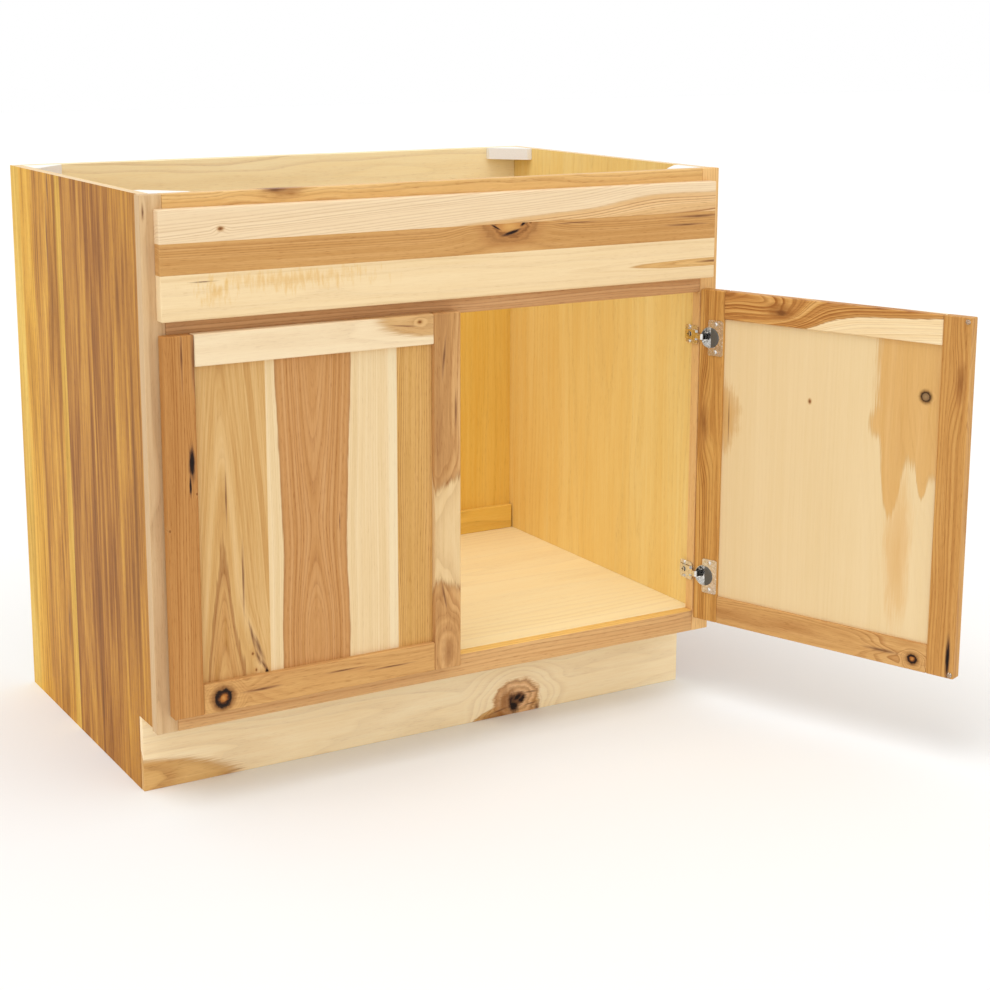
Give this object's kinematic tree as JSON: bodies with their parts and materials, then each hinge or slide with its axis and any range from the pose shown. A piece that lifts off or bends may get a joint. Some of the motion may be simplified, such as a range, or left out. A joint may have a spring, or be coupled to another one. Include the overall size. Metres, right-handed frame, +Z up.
{
  "type": "sink base cabinet",
  "caption": "Face-frame sink base cabinet in knotty hickory with an open top, a fixed false drawer front, recessed-panel doors on soft-close hinges and a recessed toe kick.",
  "frame": {"origin": "on the floor, at mid width, under the middle of the toe-kick board", "axes": "+Z up, +Y towards the wall, +X to the right of a person facing the doors"},
  "size_m": [1.1048, 1.051, 0.8763],
  "materials": {
    "hickory_frame": "satin clear-coated knotty hickory",
    "hickory_false_front": "satin clear-coated knotty hickory",
    "hickory_door_frame": "satin clear-coated knotty hickory",
    "hickory_door_panel": "satin clear-coated knotty hickory",
    "hickory_toe_kick": "satin clear-coated knotty hickory",
    "hickory_side": "satin clear-coated hickory veneer",
    "maple_interior": "clear-coated maple plywood",
    "white_plastic": "moulded, satin",
    "nickel": "nickel-plated steel",
    "damper_plastic": "dark grey moulded, satin",
    "clear_bumper": "clear polyurethane"
  },
  "bodies": {
    "carcass": {"left_side_panel": "hickory_side", "right_side_panel": "hickory_side", "floor_panel": "maple_interior", "back_panel": "maple_interior", "upper_nailer": "maple_interior", "lower_nailer": "maple_interior", "toe_kick_board": "hickory_toe_kick", "left_stile": "hickory_frame", "right_stile": "hickory_frame", "top_rail": "hickory_frame", "middle_rail": "hickory_frame", "bottom_rail": "hickory_frame", "false_front": "hickory_false_front", "false_front_cleat_left": "maple_interior", "false_front_cleat_right": "maple_interior", "corner_brace_front_left": "white_plastic", "corner_brace_front_right": "white_plastic", "corner_brace_back_left": "white_plastic", "corner_brace_back_right": "white_plastic", "left_door_upper_hinge_frame_plate": "nickel", "left_door_upper_hinge_arm": "nickel", "left_door_upper_hinge_cam_screw": "nickel", "left_door_lower_hinge_frame_plate": "nickel", "left_door_lower_hinge_arm": "nickel", "left_door_lower_hinge_cam_screw": "nickel", "right_door_upper_hinge_frame_plate": "nickel", "right_door_upper_hinge_arm": "nickel", "right_door_upper_hinge_cam_screw": "nickel", "right_door_lower_hinge_frame_plate": "nickel", "right_door_lower_hinge_arm": "nickel", "right_door_lower_hinge_cam_screw": "nickel"},
    "left_door": {"left_door_hinge_stile": "hickory_door_frame", "left_door_free_stile": "hickory_door_frame", "left_door_top_rail": "hickory_door_frame", "left_door_bottom_rail": "hickory_door_frame", "left_door_panel": "hickory_door_panel", "left_door_upper_bumper": "clear_bumper", "left_door_upper_hinge_cup": "nickel", "left_door_upper_hinge_pin": "nickel", "left_door_upper_hinge_damper": "damper_plastic", "left_door_lower_bumper": "clear_bumper", "left_door_lower_hinge_cup": "nickel", "left_door_lower_hinge_pin": "nickel", "left_door_lower_hinge_damper": "damper_plastic"},
    "right_door": {"right_door_hinge_stile": "hickory_door_frame", "right_door_free_stile": "hickory_door_frame", "right_door_top_rail": "hickory_door_frame", "right_door_bottom_rail": "hickory_door_frame", "right_door_panel": "hickory_door_panel", "right_door_upper_bumper": "clear_bumper", "right_door_upper_hinge_cup": "nickel", "right_door_upper_hinge_pin": "nickel", "right_door_upper_hinge_damper": "damper_plastic", "right_door_lower_bumper": "clear_bumper", "right_door_lower_hinge_cup": "nickel", "right_door_lower_hinge_pin": "nickel", "right_door_lower_hinge_damper": "damper_plastic"}
  },
  "joints": [
    {"name": "left_door_swing", "type": "hinge", "parent": "carcass", "child": "left_door", "pos_m": [-0.45655, -0.09245, 0.41275], "axis": [0, 0, -1], "range_deg": [0, 110]},
    {"name": "right_door_swing", "type": "hinge", "parent": "carcass", "child": "right_door", "pos_m": [0.45655, -0.09245, 0.41275], "axis": [0, 0, 1], "range_deg": [-110, 0]}
  ]
}
